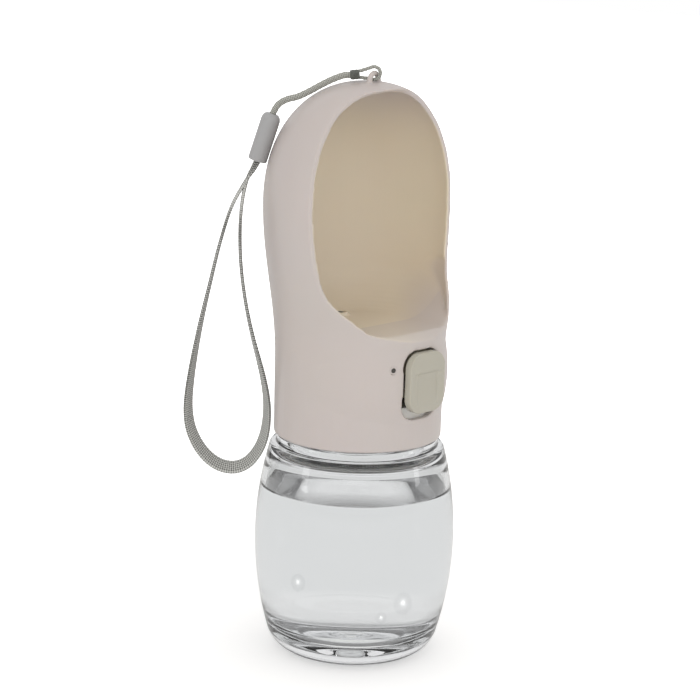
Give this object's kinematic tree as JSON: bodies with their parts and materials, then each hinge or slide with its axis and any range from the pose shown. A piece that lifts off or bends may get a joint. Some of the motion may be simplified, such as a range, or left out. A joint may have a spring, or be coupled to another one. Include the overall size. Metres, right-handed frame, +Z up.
{
  "type": "dog travel water bottle",
  "caption": "Clear bottle screwed into a drinking trough with a push-button valve, a slide lock and a wrist strap.",
  "frame": {"origin": "centre of the bottle's base, on the surface that it stands on", "axes": "+Z up along the bottle's axis, -Y towards the button and the open side of the trough"},
  "size_m": [0.0863, 0.0824, 0.2204],
  "materials": {
    "clear_plastic": "clear polished plastic",
    "trough_plastic": "satin moulded",
    "button_plastic": "satin moulded",
    "inner_plastic": "natural moulded",
    "silicone": "matt",
    "black_rubber": "matt",
    "steel": "bright drawn",
    "bead_plastic": "satin moulded",
    "cord": "braided",
    "whipping": "wound thread"
  },
  "bodies": {
    "bottle": {"bottle": "clear_plastic"},
    "seal": {"neck_gasket": "silicone"},
    "head": {"drinking_trough": "trough_plastic", "neck_cap": "inner_plastic", "inlet_seal": "black_rubber", "valve_body": "inner_plastic", "rod_seal": "black_rubber", "seal_washer": "steel", "valve_spring": "steel", "chamber_cap": "inner_plastic", "chamber_seal": "black_rubber", "outlet_seal": "silicone", "lug_loop": "cord", "cord_whipping": "whipping", "lanyard_cord": "cord", "strap_bead": "bead_plastic", "wrist_strap": "cord"},
    "valve": {"valve_rod": "steel", "valve_disc": "silicone", "disc_clip": "steel"},
    "lock": {"lock_slider": "inner_plastic", "button_spring": "steel"},
    "button": {"button": "button_plastic"}
  },
  "joints": [
    {"name": "head_lift", "type": "slide", "parent": "bottle", "child": "seal", "axis": [0, 0, 1], "range_m": [0, 0.012]},
    {"name": "head_unscrew", "type": "hinge", "parent": "seal", "child": "head", "pos_m": [0, 0, 0.09], "axis": [0, 0, 1], "range_deg": [0, 720.05]},
    {"name": "lock_slide", "type": "slide", "parent": "head", "child": "lock", "axis": [0, 0, -1], "range_m": [0, 0.0024]},
    {"name": "button_press", "type": "slide", "parent": "lock", "child": "button", "axis": [0, 1, 0], "range_m": [0, 0.0022], "stiffness_N_per_m": 300, "springref_m": -0.002, "deforming": ["button_spring"]},
    {"name": "valve_open", "type": "slide", "parent": "head", "child": "valve", "axis": [0, 1, 0], "range_m": [0, 0.00221], "stiffness_N_per_m": 300, "springref_m": -0.002, "deforming": ["valve_spring"]}
  ],
  "couplings": [
    {"joint": "head_unscrew", "follows": "head_lift", "rad_per_m": 1047.2},
    {"joint": "valve_open", "follows": "button_press", "ratio": 1}
  ]
}
